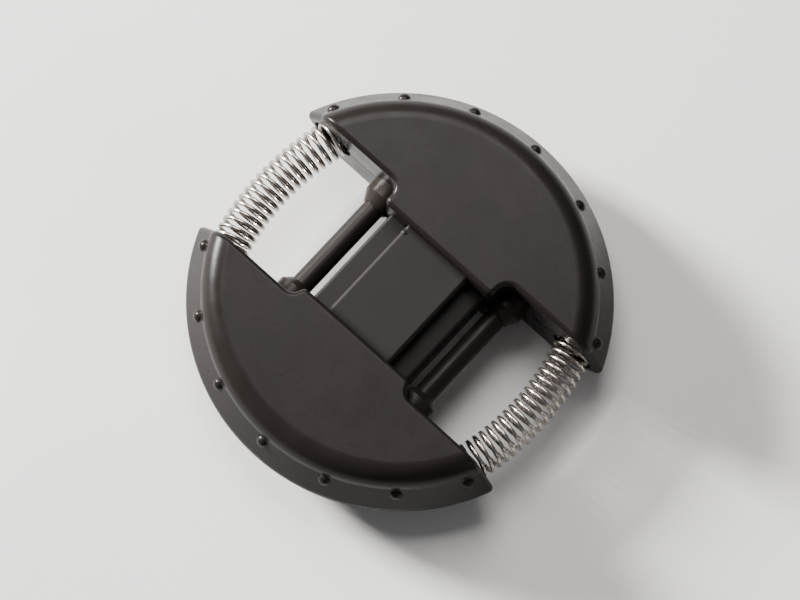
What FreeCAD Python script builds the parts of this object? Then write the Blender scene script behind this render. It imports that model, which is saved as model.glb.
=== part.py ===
import FreeCAD
import Part
import math
import os

os.makedirs("parts", exist_ok=True)

# Round hand grip strengthener: two half-moon handles on two guide rods, a wide centre slide
# and two coil springs bowed outwards. Millimetres, +Z up, lying on its flat back.
# +Y runs along the rods: the palm half is at +Y, the finger half at -Y, Z = 0 is the back face.

# Whole body; OUTER_R is where the side bands would meet if the rim were not rounded
MID_Z = 9.5
OUTER_R = 37.8
PLATEAU_R = 30.6
CREASE_R = 34.8
CREASE_H = 6.0
CREASE_ROUND = 1.5
RIM_ROUND = 1.8
PARTING_BEVEL = 0.15
WALL = 1.8
TRAVEL = 13.5

# Straight walls that face each other, distances from the centre along Y
WALL_Y = 13.5
PALM_FRONT_Y = 9.5
FINGER_FRONT_Y = 11.0
CENTRE_HALF_X = 12.6
INNER_CORNER_R = 2.2
OUTER_CORNER_R = 1.2
EDGE_R = 0.9

# Guide rods and their collars
ROD_X = 14.55
ROD_R = 2.0
ROD_HEAD_R = 2.8
ROD_HEAD_T = 1.2
ROD_TAP_R = 0.8
ROD_TAP_DEPTH = 6.0
BUSH_R = 3.5
BUSH_FLANGE_R = 4.1
BUSH_FLAT_X = 11.55
BUSH_FLANGE_T = 1.0
BUSH_NOSE_R = 2.3
PALM_NOSE_LENGTH = 2.0
FINGER_NOSE_LENGTH = 1.2
RUNNING_FIT = 0.05
SEAT_FIT = 0.02
PALM_BUSH_Y = 9.0
FINGER_BUSH_Y = 9.8
BUSH_END_Y = 16.0
HOUSING_R = 5.2
ROD_PATH_R = 3.1
ROD_PATH_END_Y = 32.0
WASHER_T = 0.7
WASHER_HOLE_R = 1.1
ROD_SCREW_HEAD_R = 1.9
ROD_SCREW_HEAD_T = 0.9

# Centre slide, a plus-shaped bar
PLATEAU_HALF_X = 7.2
PLATEAU_H = 6.8
FLANGE_HALF_X = 11.1
FLANGE_H = 3.6
SLIDE_GAP = 0.4
SLIDE_NOSE_Y = 12.0
SLIDE_ROOT_Y = -23.0
SLIDE_END_ROOM = 0.7
PLATEAU_ROUND = 0.7
FLANGE_ROUND = 0.6
PAD_HALF_X = 5.0
PAD_LENGTH = 6.0
NUB_LEAN_DEG = 45.0
NUB_Y = 8.3
NUB_BALL_R = 0.8
NUB_SINK = 0.65

# Coil springs, each bowed outwards on a wide arc
COIL_X = 30.3
COIL_ARC_R = 50.0
COIL_R = 3.3
WIRE_R = 0.4
COIL_TURNS = 22.5
COIL_POINTS = 14
COIL_END_ROOM = 0.15
POCKET_R = 4.1
POCKET_WALL = 1.2
POCKET_END_DEG = 21.4
SEAT_T = 1.2
SEAT_R = 3.95
SEAT_STUB_R = 2.2
SEAT_STUB_LENGTH = 3.0

# Cover screws
SIDE_SCREW_XY = (20.0, 19.9)
FAR_SCREW_XY = (0.0, 28.3)
POST_R = 3.0
PILOT_R = 0.8
PILOT_TOP_H = 6.5
SHANK_R = 1.1
THREAD_R = 0.78
HEAD_BORE_R = 2.2
HEAD_BORE_DEPTH = 2.0
HEAD_R = 2.0
HEAD_T = 1.3
HEAD_ROUND = 0.5
CROSS_HALF_LENGTH = 1.1
CROSS_HALF_WIDTH = 0.27
DRIVE_R = 0.8
DRIVE_DEPTH = 0.7

# Grip studs round the rim
STUD_BALL_R = 1.3
STUD_SINK = 0.55
STUD_DOWN_BAND = 1.6
TOP_STUD_DEG = (-61.8, -41.2, -20.6, 0.0, 20.6, 41.2, 61.8)
BACK_STUD_DEG = (-51.5, -30.9, -10.3, 10.3, 30.9, 51.5)

BIG = 100.0
CUT = 0.5
NEAR = 1e-6


def vec(x, y, z):
    return FreeCAD.Vector(x, y, z)


def box(x0, x1, y0, y1, z0, z1):
    return Part.makeBox(x1 - x0, y1 - y0, z1 - z0, vec(x0, y0, z0))


def rod_along_y(x, y0, y1, radius, z=MID_Z):
    return Part.makeCylinder(radius, y1 - y0, vec(x, y0, z), vec(0, 1, 0))


def post(x, y, z0, z1, radius):
    return Part.makeCylinder(radius, z1 - z0, vec(x, y, z0), vec(0, 0, 1))


def half_turn(shape):
    turned = shape.copy()
    turned.rotate(vec(0, 0, 0), vec(0, 0, 1), 180)
    return turned


def flipped(shape):
    # turns a top piece over onto the back, about the Y axis at mid height
    turned = shape.copy()
    turned.rotate(vec(0, 0, MID_Z), vec(0, 1, 0), 180)
    return turned


def mirrored_x(shape):
    return shape.mirror(vec(0, 0, 0), vec(1, 0, 0))


def save(shape, name):
    solid = shape.removeSplitter()
    solid.exportStep(os.path.join("parts", name + ".step"))


def shoulder_r(run, drop):
    # radius of the round that starts flat and falls by drop over run
    return (run * run + drop * drop) / (2 * drop)


def dome(plateau_r, crease_r, outer_r, height, crease_h):
    # solid of revolution: flat top, rounded shoulder, hollow crease, flared side band, round rim
    top = MID_Z + height
    radius = shoulder_r(crease_r - plateau_r, height - crease_h)
    shoulder_centre = vec(plateau_r, 0, top - radius)
    p_crease = vec(crease_r, 0, MID_Z + crease_h)
    p_rim = vec(outer_r, 0, MID_Z)
    down = (p_rim - p_crease).normalize()
    out = vec(-down.z, 0, down.x)
    reach = p_crease + out * CREASE_ROUND - shoulder_centre
    half = reach.dot(down)
    slip = math.sqrt(half * half - reach.dot(reach) + (radius + CREASE_ROUND) ** 2) - half
    p_band = p_crease + down * slip
    crease_centre = p_band + out * CREASE_ROUND
    toward = (crease_centre - shoulder_centre).normalize()
    p_shoulder = shoulder_centre + toward * radius
    lean = math.atan2(toward.x, toward.z) / 2
    p_middle = shoulder_centre + vec(math.sin(lean), 0, math.cos(lean)) * radius
    inward = (p_shoulder - crease_centre + p_band - crease_centre).normalize()
    p_hollow = crease_centre + inward * CREASE_ROUND
    band_lean = math.atan2(out.z, out.x)
    p_band_end = p_rim - down * RIM_ROUND * math.tan(band_lean)
    rim_centre = p_band_end - out * RIM_ROUND
    half_lean = vec(math.cos(band_lean / 2), 0, math.sin(band_lean / 2))
    p_rim_middle = rim_centre + half_lean * RIM_ROUND
    p_equator = rim_centre + vec(RIM_ROUND, 0, 0)
    p_axis = vec(0, 0, MID_Z)
    p_top = vec(0, 0, top)
    p_plateau = vec(plateau_r, 0, top)
    edges = [
        Part.LineSegment(p_axis, p_top).toShape(),
        Part.LineSegment(p_top, p_plateau).toShape(),
        Part.Arc(p_plateau, p_middle, p_shoulder).toShape(),
        Part.Arc(p_shoulder, p_hollow, p_band).toShape(),
        Part.LineSegment(p_band, p_band_end).toShape(),
        Part.Arc(p_band_end, p_rim_middle, p_equator).toShape(),
        Part.LineSegment(p_equator, p_axis).toShape(),
    ]
    face = Part.Face(Part.Wire(edges))
    return face.revolve(vec(0, 0, 0), vec(0, 0, 1), 360)


def outer_top():
    return dome(PLATEAU_R, CREASE_R, OUTER_R, MID_Z, CREASE_H)


def inner_top():
    # the outside moved in by the wall thickness
    radius = shoulder_r(CREASE_R - PLATEAU_R, MID_Z - CREASE_H)
    shrink = (radius - WALL) / radius
    drop = (MID_Z - CREASE_H) * shrink
    lean = math.hypot(OUTER_R - CREASE_R, CREASE_H)
    return dome(
        PLATEAU_R,
        PLATEAU_R + (CREASE_R - PLATEAU_R) * shrink,
        OUTER_R - WALL * lean / CREASE_H,
        MID_Z - WALL,
        MID_Z - WALL - drop,
    )


def ends(edge):
    return edge.Vertexes[0].Point, edge.Vertexes[-1].Point


def is_upright(edge):
    a, b = ends(edge)
    level = math.hypot(a.x - b.x, a.y - b.y)
    return level < NEAR and abs(a.z - b.z) > NEAR


def is_at_height(edge, z):
    a, b = ends(edge)
    return abs(a.z - z) < NEAR and abs(b.z - z) < NEAR


def round_corners(shape, y, radius):
    # rounds the upright corners that the centre section makes at distance y
    picked = []
    for edge in shape.Edges:
        start = ends(edge)[0]
        at_corner = abs(start.y - y) < NEAR and abs(abs(start.x) - CENTRE_HALF_X) < NEAR
        if is_upright(edge) and at_corner:
            picked.append(edge)
    return shape.makeFillet(radius, picked)


def plan(front_y):
    # everything behind the straight wall, with the centre section standing out to front_y
    back = box(-BIG, BIG, WALL_Y, BIG, 0, 2 * MID_Z)
    centre = box(-CENTRE_HALF_X, CENTRE_HALF_X, front_y, BIG, 0, 2 * MID_Z)
    outline = back.fuse(centre).removeSplitter()
    outline = round_corners(outline, WALL_Y, INNER_CORNER_R)
    return round_corners(outline, front_y, OUTER_CORNER_R)


def round_wall_edges(shape):
    # rounds where the straight walls meet the top face and the rim
    picked = []
    for edge in shape.Edges:
        on_wall = edge.CenterOfMass.y < WALL_Y + NEAR
        if on_wall and not is_upright(edge) and not is_at_height(edge, MID_Z):
            picked.append(edge)
    return shape.makeFillet(EDGE_R, picked)


def bevel_parting_edge(shape):
    # a hair of bevel all round the joint face, so the two covers meet in a fine groove
    picked = [edge for edge in shape.Edges if is_at_height(edge, MID_Z)]
    return shape.makeChamfer(PARTING_BEVEL, picked)


def arc_tube(radius, start_deg, end_deg):
    # tube about the bowed line of the right spring, angles up from the X axis
    centre = vec(COIL_X - COIL_ARC_R, 0, 0)
    ring = Part.Circle(vec(COIL_X, 0, MID_Z), vec(0, 1, 0), radius).toShape()
    face = Part.Face(Part.Wire(ring))
    tube = face.revolve(centre, vec(0, 0, 1), end_deg - start_deg)
    tube.rotate(centre, vec(0, 0, 1), start_deg)
    return tube


def pair_x(shape):
    return shape.fuse(mirrored_x(shape))


def slide_section(gap):
    # plus-shaped outline in the XZ plane at Y = 0
    px, ph = PLATEAU_HALF_X + gap, PLATEAU_H + gap
    fx, fh = FLANGE_HALF_X + gap, FLANGE_H + gap
    corners = [
        (-px, ph), (px, ph), (px, fh), (fx, fh), (fx, -fh), (px, -fh),
        (px, -ph), (-px, -ph), (-px, -fh), (-fx, -fh), (-fx, fh), (-px, fh),
    ]
    points = [vec(x, 0, MID_Z + z) for x, z in corners]
    points.append(points[0])
    return Part.Face(Part.makePolygon(points))


def is_slide_corner(edge, x, z):
    a, b = ends(edge)
    at_corner = abs(abs(a.x) - x) < NEAR and abs(abs(a.z - MID_Z) - z) < NEAR
    return at_corner and abs(a.y - b.y) > NEAR


def slide_bar(y0, y1, gap):
    # plus-shaped bar with its outer corners well rounded, grown by gap on every side
    face = slide_section(gap)
    face.translate(vec(0, y0, 0))
    bar = face.extrude(vec(0, y1 - y0, 0))
    corners = (
        (PLATEAU_HALF_X, PLATEAU_H, PLATEAU_ROUND),
        (FLANGE_HALF_X, FLANGE_H, FLANGE_ROUND),
    )
    for x, z, radius in corners:
        picked = [edge for edge in bar.Edges if is_slide_corner(edge, x + gap, z + gap)]
        bar = bar.makeFillet(radius + gap, picked)
    return bar


def stud(angle_deg):
    # ball sunk into the side band just outside the crease
    band = math.hypot(OUTER_R - CREASE_R, CREASE_H)
    along_r = (OUTER_R - CREASE_R) / band
    along_z = -CREASE_H / band
    r = CREASE_R + STUD_DOWN_BAND * along_r + STUD_SINK * along_z
    z = MID_Z + CREASE_H + STUD_DOWN_BAND * along_z - STUD_SINK * along_r
    ball = Part.makeSphere(STUD_BALL_R, vec(0, r, z))
    ball.rotate(vec(0, 0, 0), vec(0, 0, 1), -angle_deg)
    return ball


def top_cover(front_y, bush_y, stud_degs):
    # one cover in the +Y position, upper side
    outline = plan(front_y)
    outer = bevel_parting_edge(round_wall_edges(outer_top().common(outline)))
    hollow_zone = box(-BIG, BIG, WALL_Y + WALL, BIG, MID_Z - CUT, 2 * MID_Z)
    cavity = inner_top().common(hollow_zone)
    cover = outer.cut(cavity)

    wall_deg = math.degrees(math.asin(WALL_Y / COIL_ARC_R))
    end_wall_deg = math.degrees(POCKET_WALL / COIL_ARC_R)
    housing = arc_tube(POCKET_R + POCKET_WALL, wall_deg, POCKET_END_DEG + end_wall_deg)
    extras = [pair_x(housing)]
    extras.append(pair_x(rod_along_y(ROD_X, WALL_Y, BUSH_END_Y + BUSH_FLANGE_T, HOUSING_R)))
    extras.append(pair_x(post(SIDE_SCREW_XY[0], SIDE_SCREW_XY[1], MID_Z, 2 * MID_Z - CUT, POST_R)))
    extras.append(post(FAR_SCREW_XY[0], FAR_SCREW_XY[1], MID_Z, 2 * MID_Z - CUT, POST_R))
    inside = outer_top().common(box(-BIG, BIG, WALL_Y + CUT, BIG, MID_Z, 2 * MID_Z - CUT))
    for extra in extras:
        cover = cover.fuse(extra.common(inside))

    slide_path_end_y = SLIDE_NOSE_Y + TRAVEL + SLIDE_END_ROOM
    cover = cover.cut(slide_bar(front_y - CUT, slide_path_end_y, SLIDE_GAP))
    cover = cover.cut(pair_x(arc_tube(POCKET_R, wall_deg / 2, POCKET_END_DEG)))
    cover = cover.cut(pair_x(rod_along_y(ROD_X, bush_y - CUT, BUSH_END_Y, BUSH_R + SEAT_FIT)))
    flange_y = BUSH_END_Y - BUSH_FLANGE_T
    flange = rod_along_y(ROD_X, flange_y - SEAT_FIT, BUSH_END_Y + SEAT_FIT, BUSH_FLANGE_R + SEAT_FIT)
    cover = cover.cut(pair_x(flange))
    cover = cover.cut(pair_x(rod_along_y(ROD_X, BUSH_END_Y, ROD_PATH_END_Y, ROD_PATH_R)))
    for angle in stud_degs:
        cover = cover.fuse(stud(angle).cut(inner_top()))
    return cover


def screw_places():
    x, y = SIDE_SCREW_XY
    return [(x, y), (-x, y), FAR_SCREW_XY]


def upper_cover(front_y, bush_y):
    cover = top_cover(front_y, bush_y, TOP_STUD_DEG)
    for x, y in screw_places():
        cover = cover.cut(post(x, y, MID_Z - CUT, MID_Z + PILOT_TOP_H, PILOT_R))
    return cover


def back_cover(front_y, bush_y):
    cover = flipped(top_cover(front_y, bush_y, BACK_STUD_DEG))
    for x, y in screw_places():
        cover = cover.cut(post(x, y, -CUT, MID_Z + CUT, SHANK_R))
        cover = cover.cut(post(x, y, -CUT, HEAD_BORE_DEPTH, HEAD_BORE_R))
    return cover


def cross_recess(x, y, z0, z1):
    along, across = CROSS_HALF_LENGTH, CROSS_HALF_WIDTH
    slot = box(x - along, x + along, y - across, y + across, z0, z1)
    return slot.fuse(box(x - across, x + across, y - along, y + along, z0, z1))


def cover_screw(x, y):
    head_z = HEAD_BORE_DEPTH
    face_z = head_z - HEAD_T
    head = post(x, y, face_z, head_z, HEAD_R)
    head = head.makeFillet(HEAD_ROUND, [edge for edge in head.Edges if is_at_height(edge, face_z)])
    head = head.cut(cross_recess(x, y, face_z - CUT, face_z + DRIVE_DEPTH))
    neck = post(x, y, head_z, MID_Z, SHANK_R - RUNNING_FIT)
    thread = post(x, y, MID_Z, MID_Z + PILOT_TOP_H - CUT, THREAD_R)
    return head.fuse(neck).fuse(thread).removeSplitter()


def cover_screws():
    return Part.makeCompound([cover_screw(x, y) for x, y in screw_places()])


def bushing(front_y, nose_length, bore_r):
    # flanged sleeve round a rod, its tapered nose out in the open, flatted beside the slide
    end_y = BUSH_END_Y
    nose = Part.makeCone(BUSH_NOSE_R, BUSH_R, nose_length, vec(ROD_X, front_y, MID_Z), vec(0, 1, 0))
    sleeve = nose.fuse(rod_along_y(ROD_X, front_y + nose_length, end_y, BUSH_R))
    sleeve = sleeve.fuse(rod_along_y(ROD_X, end_y - BUSH_FLANGE_T, end_y, BUSH_FLANGE_R))
    sleeve = sleeve.cut(box(0, BUSH_FLAT_X, front_y - CUT, end_y + CUT, 0, 2 * MID_Z))
    return sleeve.cut(rod_along_y(ROD_X, front_y - CUT, end_y + CUT, bore_r))


def guide_rod():
    # plain shaft, headed where it is trapped in the finger half, tapped at its palm end
    head_y = -BUSH_END_Y - SEAT_FIT - ROD_HEAD_T
    tip_y = BUSH_END_Y + SEAT_FIT
    shaft = rod_along_y(ROD_X, head_y, tip_y, ROD_R)
    head = rod_along_y(ROD_X, head_y, head_y + ROD_HEAD_T, ROD_HEAD_R)
    tap = rod_along_y(ROD_X, tip_y - ROD_TAP_DEPTH, tip_y + CUT, ROD_TAP_R)
    return shaft.fuse(head).cut(tap)


def stop_washer():
    y = BUSH_END_Y + 2 * SEAT_FIT
    disc = rod_along_y(ROD_X, y, y + WASHER_T, ROD_HEAD_R)
    return disc.cut(rod_along_y(ROD_X, y - CUT, y + WASHER_T + CUT, WASHER_HOLE_R))


def stop_screw():
    y = BUSH_END_Y + 3 * SEAT_FIT + WASHER_T
    head = rod_along_y(ROD_X, y, y + ROD_SCREW_HEAD_T, ROD_SCREW_HEAD_R)
    drive = rod_along_y(ROD_X, y + ROD_SCREW_HEAD_T - CUT, y + ROD_SCREW_HEAD_T + CUT, DRIVE_R)
    shank = rod_along_y(ROD_X, y - ROD_TAP_DEPTH + 2 * CUT, y, ROD_TAP_R - SEAT_FIT)
    return head.cut(drive).fuse(shank)


def centre_slide():
    bar = slide_bar(SLIDE_ROOT_Y, SLIDE_NOSE_Y, 0)
    pad_h = MID_Z - WALL - SEAT_FIT
    pad = box(
        -PAD_HALF_X, PAD_HALF_X,
        SLIDE_ROOT_Y, SLIDE_ROOT_Y + PAD_LENGTH,
        MID_Z - pad_h, MID_Z + pad_h,
    )
    lean = math.radians(NUB_LEAN_DEG)
    depth = PLATEAU_ROUND - NUB_SINK
    nub_x = PLATEAU_ROUND - PLATEAU_HALF_X - depth * math.sin(lean)
    nub_z = MID_Z + PLATEAU_H - PLATEAU_ROUND + depth * math.cos(lean)
    nub = Part.makeSphere(NUB_BALL_R, vec(nub_x, NUB_Y, nub_z))
    return bar.fuse(pad).fuse(nub)


def spring_seat():
    # plate with a stub that centres the last coils, at the end of the palm pocket
    y_axis = vec(0, 1, 0)
    stub_y = -SEAT_FIT - SEAT_T - SEAT_STUB_LENGTH
    seat = Part.makeCylinder(SEAT_R, SEAT_T, vec(COIL_X, -SEAT_FIT - SEAT_T, MID_Z), y_axis)
    seat = seat.fuse(Part.makeCylinder(SEAT_STUB_R, SEAT_STUB_LENGTH, vec(COIL_X, stub_y, MID_Z), y_axis))
    seat.rotate(vec(COIL_X - COIL_ARC_R, 0, 0), vec(0, 0, 1), POCKET_END_DEG)
    return seat


def coil_spring():
    # wire wound round the arc between the two seats
    seat_deg = math.degrees((SEAT_T + COIL_END_ROOM + WIRE_R) / COIL_ARC_R)
    end_deg = POCKET_END_DEG - seat_deg
    count = round(COIL_TURNS * COIL_POINTS)
    points = []
    for i in range(count + 1):
        share = i / count
        along = math.radians(end_deg * (2 * share - 1))
        turn = 2 * math.pi * COIL_TURNS * share
        r = COIL_ARC_R + COIL_R * math.cos(turn)
        x = COIL_X - COIL_ARC_R + r * math.cos(along)
        points.append(vec(x, r * math.sin(along), MID_Z + COIL_R * math.sin(turn)))
    curve = Part.BSplineCurve()
    curve.interpolate(points)
    path = Part.Wire(curve.toShape())
    start = curve.tangent(curve.FirstParameter)[0]
    ring = Part.Wire(Part.Circle(points[0], start, WIRE_R).toShape())
    return path.makePipeShell([ring], True, True)


def build():
    palm_top = upper_cover(PALM_FRONT_Y, PALM_BUSH_Y)
    palm_back = back_cover(PALM_FRONT_Y, PALM_BUSH_Y)
    finger_top = half_turn(upper_cover(FINGER_FRONT_Y, FINGER_BUSH_Y))
    finger_back = half_turn(back_cover(FINGER_FRONT_Y, FINGER_BUSH_Y))
    save(palm_top, "palm_top_cover")
    save(palm_back, "palm_back_cover")
    save(finger_top, "finger_top_cover")
    save(finger_back, "finger_back_cover")
    save(cover_screws(), "palm_cover_screws")
    save(half_turn(cover_screws()), "finger_cover_screws")
    save(centre_slide(), "centre_slide")

    right_side = {
        "guide_rod": guide_rod(),
        "stop_washer": stop_washer(),
        "stop_screw": stop_screw(),
        "palm_bushing": bushing(PALM_BUSH_Y, PALM_NOSE_LENGTH, ROD_R + RUNNING_FIT),
        "palm_spring_seat": spring_seat(),
        "spring": coil_spring(),
    }
    for name, shape in right_side.items():
        save(shape, name + "_right")
        save(mirrored_x(shape), name + "_left")

    collar = bushing(FINGER_BUSH_Y, FINGER_NOSE_LENGTH, ROD_R + SEAT_FIT)
    save(half_turn(collar), "finger_collar_left")
    save(mirrored_x(half_turn(collar)), "finger_collar_right")
    seat = half_turn(spring_seat())
    save(seat, "finger_spring_seat_left")
    save(mirrored_x(seat), "finger_spring_seat_right")


build()
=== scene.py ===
import math

import bpy
from mathutils import Matrix, Vector


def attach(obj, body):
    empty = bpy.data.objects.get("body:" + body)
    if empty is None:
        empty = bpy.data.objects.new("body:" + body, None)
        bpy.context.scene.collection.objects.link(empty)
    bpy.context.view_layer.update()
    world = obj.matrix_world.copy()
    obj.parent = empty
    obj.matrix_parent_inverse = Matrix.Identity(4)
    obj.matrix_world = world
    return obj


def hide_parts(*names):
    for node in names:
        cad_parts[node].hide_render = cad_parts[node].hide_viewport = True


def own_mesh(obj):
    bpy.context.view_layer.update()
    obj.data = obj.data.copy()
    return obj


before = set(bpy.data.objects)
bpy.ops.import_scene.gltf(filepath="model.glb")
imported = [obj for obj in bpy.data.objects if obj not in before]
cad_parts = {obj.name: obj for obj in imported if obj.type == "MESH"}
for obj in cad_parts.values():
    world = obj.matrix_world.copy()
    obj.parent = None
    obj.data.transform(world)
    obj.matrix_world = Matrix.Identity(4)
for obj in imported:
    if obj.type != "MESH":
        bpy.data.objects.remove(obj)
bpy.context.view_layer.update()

# Sizes in millimetres
MM = 0.001
MID_Z = 9.5

# Springs: the coil axis is an arc in plan, bowed outwards, between two seats
COIL_X = 30.3
COIL_ARC_R = 50.0
SEAT_DEG = 19.39
COIL_R = 3.3
WIRE_R = 0.39
COIL_TURNS = 22.5
STEPS_PER_TURN = 20
WIRE_ROUNDNESS = 4

# Floor, light and camera; lengths in metres, powers in watts, angles in degrees
FLOOR_HALF = 4.0
WORLD_STRENGTH = 0.19
SCREEN_UP = Vector((-0.676, 0.737, 0.0))
SCREEN_RIGHT = Vector((0.737, 0.676, 0.0))
UP = Vector((0, 0, 1))
TILT_X = 8.0
TILT_Y = -9.7
DISTANCE = 0.78
LENS = 200.0
SENSOR = 36.0
TARGET = Vector((0.0, 0.0, MID_Z * MM))


# ---------- materials ----------


class Nodes:
    """A material with a Principled shader, and short ways to add the nodes that feed it."""

    def __init__(self, name):
        self.material = bpy.data.materials.new(name)
        self.material.use_nodes = True
        self.tree = self.material.node_tree
        self.tree.nodes.clear()
        self.shader = self.add("ShaderNodeBsdfPrincipled")
        self.output = self.add("ShaderNodeOutputMaterial")
        self.link(self.shader.outputs["BSDF"], self.output.inputs["Surface"])
        self.place = self.add("ShaderNodeTexCoord").outputs["Object"]

    def add(self, kind, **values):
        node = self.tree.nodes.new(kind)
        for key, value in values.items():
            setattr(node, key, value)
        return node

    def link(self, a, b):
        self.tree.links.new(a, b)

    def noise(self, scale, detail=3.0, rough=0.5, vector=None):
        node = self.add("ShaderNodeTexNoise")
        node.inputs["Scale"].default_value = scale
        node.inputs["Detail"].default_value = detail
        node.inputs["Roughness"].default_value = rough
        self.link(vector or self.place, node.inputs["Vector"])
        return node.outputs["Fac"]

    def ramp(self, value, stops):
        node = self.add("ShaderNodeValToRGB")
        while len(node.color_ramp.elements) < len(stops):
            node.color_ramp.elements.new(0.5)
        for element, (place, colour) in zip(node.color_ramp.elements, stops):
            element.position = place
            element.color = (*colour, 1.0)
        self.link(value, node.inputs["Fac"])
        return node.outputs["Color"]

    def span(self, value, low, high, to_low, to_high):
        node = self.add("ShaderNodeMapRange")
        node.inputs["From Min"].default_value = low
        node.inputs["From Max"].default_value = high
        node.inputs["To Min"].default_value = to_low
        node.inputs["To Max"].default_value = to_high
        self.link(value, node.inputs["Value"])
        return node.outputs["Result"]

    def bump(self, height, strength, distance):
        node = self.add("ShaderNodeBump")
        node.inputs["Strength"].default_value = strength
        node.inputs["Distance"].default_value = distance
        self.link(height, node.inputs["Height"])
        return node.outputs["Normal"]


def plastic(name, colour, rough, grain=0.35, tone=0.12, gloss=0.14):
    """Moulded plastic: faint clouds in the colour and the gloss, and a fine surface grain."""
    n = Nodes(name)
    n.shader.inputs["Specular IOR Level"].default_value = gloss
    cloud = n.noise(90.0, 4.0, 0.55)
    dark = tuple(c * (1 - tone) for c in colour)
    light = tuple(c * (1 + tone) for c in colour)
    n.link(n.ramp(cloud, [(0.3, dark), (0.7, light)]), n.shader.inputs["Base Color"])
    patch = n.noise(240.0, 3.0)
    n.link(n.span(patch, 0.3, 0.7, rough - 0.05, rough + 0.05), n.shader.inputs["Roughness"])
    fine = n.noise(5200.0, 2.0, 0.6)
    n.link(n.bump(fine, grain, 0.00004), n.shader.inputs["Normal"])
    return n.material


def metal(name, colour, rough, streak=400.0):
    """Plated steel with small patches of darker, rougher metal."""
    n = Nodes(name)
    n.shader.inputs["Metallic"].default_value = 1.0
    mapping = n.add("ShaderNodeMapping")
    mapping.inputs["Scale"].default_value = (streak, streak, streak)
    n.link(n.place, mapping.inputs["Vector"])
    patch = n.noise(1.0, 4.0, 0.6, mapping.outputs["Vector"])
    dark = tuple(c * 0.82 for c in colour)
    n.link(n.ramp(patch, [(0.35, dark), (0.6, colour)]), n.shader.inputs["Base Color"])
    n.link(n.span(patch, 0.3, 0.7, rough + 0.08, rough - 0.04), n.shader.inputs["Roughness"])
    n.link(n.bump(patch, 0.2, 0.00002), n.shader.inputs["Normal"])
    return n.material


SHELL = plastic("shell_plastic", (0.0084, 0.0068, 0.0063), 0.28, gloss=0.095)
SLIDE = plastic("slide_plastic", (0.0076, 0.0062, 0.0056), 0.54, gloss=0.14)
ROD = plastic("rod_plastic", (0.0092, 0.0073, 0.0064), 0.38, grain=0.15, gloss=0.11)
BUSHING = plastic("bushing_plastic", (0.0120, 0.0095, 0.0082), 0.32, grain=0.2, gloss=0.12)
SEAT = plastic("seat_plastic", (0.010, 0.009, 0.009), 0.5)
STEEL = metal("screw_steel", (0.42, 0.41, 0.39), 0.35)
SPRING = metal("spring_steel", (0.40, 0.36, 0.33), 0.24, streak=900.0)

# The first key found in a node's name gives its look
LOOKS = {
    "cover_screws": STEEL,
    "stop_": STEEL,
    "guide_rod": ROD,
    "bushing": BUSHING,
    "collar": BUSHING,
    "seat": SEAT,
    "centre_slide": SLIDE,
    "cover": SHELL,
    "spring": SPRING,
}
for name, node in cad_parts.items():
    look = next(m for key, m in LOOKS.items() if key in name)
    node.data.materials.clear()
    node.data.materials.append(look)


# ---------- springs ----------


def coil(side):
    """The wound wire of one spring, as a mesh."""
    curve = bpy.data.curves.new("coil", "CURVE")
    curve.dimensions = "3D"
    curve.bevel_depth = WIRE_R * MM
    curve.bevel_resolution = WIRE_ROUNDNESS
    curve.resolution_u = 2
    curve.use_fill_caps = True
    count = round(COIL_TURNS * STEPS_PER_TURN)
    spline = curve.splines.new("POLY")
    spline.points.add(count)
    for i in range(count + 1):
        share = i / count
        along = math.radians(SEAT_DEG * (2 * share - 1))
        turn = 2 * math.pi * COIL_TURNS * share
        r = COIL_ARC_R + COIL_R * math.cos(turn)
        x = COIL_X - COIL_ARC_R + r * math.cos(along)
        point = (side * x, r * math.sin(along), MID_Z + COIL_R * math.sin(turn))
        spline.points[i].co = (*(c * MM for c in point), 1.0)
    holder = bpy.data.objects.new("coil_holder", curve)
    bpy.context.scene.collection.objects.link(holder)
    bpy.context.view_layer.update()
    depsgraph = bpy.context.evaluated_depsgraph_get()
    mesh = bpy.data.meshes.new_from_object(holder.evaluated_get(depsgraph))
    bpy.data.objects.remove(holder)
    for polygon in mesh.polygons:
        polygon.use_smooth = True
    return mesh


for side, name in ((1, "right"), (-1, "left")):
    mesh = coil(side)
    piece = bpy.data.objects.new("spring_coil_" + name, mesh)
    bpy.context.scene.collection.objects.link(piece)
    mesh.materials.clear()
    mesh.materials.append(SPRING)
    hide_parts("spring_" + name)
    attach(piece, "finger_half")
    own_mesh(piece)


# ---------- floor, light, camera ----------

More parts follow.
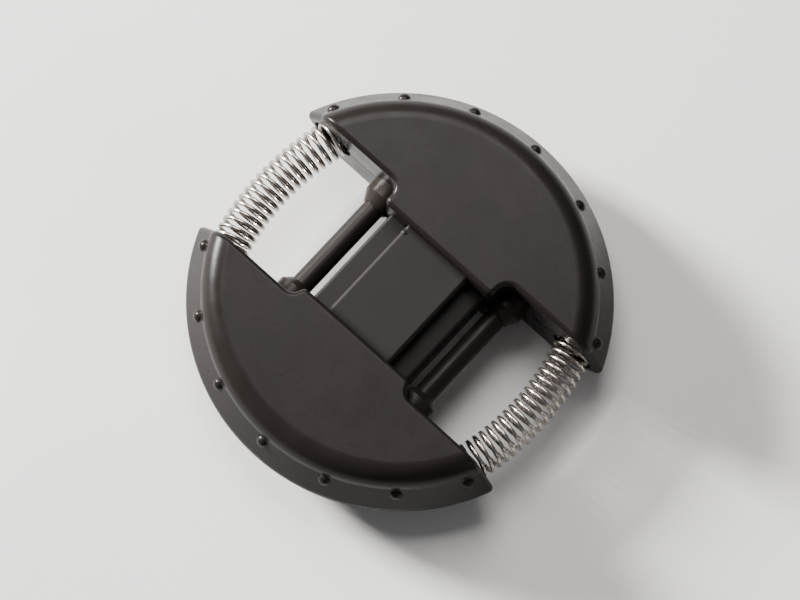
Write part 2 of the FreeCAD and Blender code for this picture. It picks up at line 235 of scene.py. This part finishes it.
floor_mesh = bpy.data.meshes.new("floor")
corners = [(x * FLOOR_HALF, y * FLOOR_HALF, 0) for x, y in ((-1, -1), (1, -1), (1, 1), (-1, 1))]
floor_mesh.from_pydata(corners, [], [(0, 1, 2, 3)])
floor = bpy.data.objects.new("floor", floor_mesh)
bpy.context.scene.collection.objects.link(floor)
floor_look = Nodes("floor_paper")
floor_stops = [(0.3, (0.56, 0.555, 0.55)), (0.7, (0.61, 0.605, 0.60))]
floor_colour = floor_look.ramp(floor_look.noise(14.0), floor_stops)
floor_look.link(floor_colour, floor_look.shader.inputs["Base Color"])
floor_look.shader.inputs["Roughness"].default_value = 0.9
floor_mesh.materials.append(floor_look.material)

world = bpy.data.worlds.new("studio")
world.use_nodes = True
background = world.node_tree.nodes["Background"]
background.inputs["Color"].default_value = (0.93, 0.95, 1.0, 1.0)
background.inputs["Strength"].default_value = WORLD_STRENGTH
bpy.context.scene.world = world


def area_light(name, direction, distance, size, power, colour):
    """A square light at a distance from the object, facing it."""
    data = bpy.data.lights.new(name, "AREA")
    data.shape = "SQUARE"
    data.size = size
    data.energy = power
    data.color = colour
    light = bpy.data.objects.new(name, data)
    bpy.context.scene.collection.objects.link(light)
    light.location = TARGET + direction.normalized() * distance
    light.rotation_mode = "QUATERNION"
    light.rotation_quaternion = direction.to_track_quat("Z", "Y")


from_left = -SCREEN_RIGHT + SCREEN_UP * 0.62 + UP * 0.46
from_above = -SCREEN_RIGHT * 0.08 + SCREEN_UP * 0.58 + UP
from_right = Vector((1.0, -0.15, 0.6))
area_light("window", from_left, distance=0.9, size=0.2, power=56.0, colour=(1.0, 0.985, 0.96))
area_light("overhead", from_above, distance=1.2, size=0.7, power=18.0, colour=(1.0, 0.98, 0.95))
area_light("far_side", from_right, distance=1.0, size=0.08, power=0.8, colour=(1.0, 0.95, 0.92))

camera_data = bpy.data.cameras.new("camera")
camera_data.lens = LENS
camera_data.sensor_width = SENSOR
camera_data.clip_start = 0.01
camera = bpy.data.objects.new("camera", camera_data)
bpy.context.scene.collection.objects.link(camera)
back = Vector((math.tan(math.radians(TILT_X)), math.tan(math.radians(TILT_Y)), 1.0)).normalized()
right = (SCREEN_RIGHT - SCREEN_RIGHT.dot(back) * back).normalized()
up = back.cross(right)
camera.matrix_world = Matrix(
    (
        (right.x, up.x, back.x, 0),
        (right.y, up.y, back.y, 0),
        (right.z, up.z, back.z, 0),
        (0, 0, 0, 1),
    )
)
camera.location = TARGET + back * DISTANCE
bpy.context.scene.camera = camera
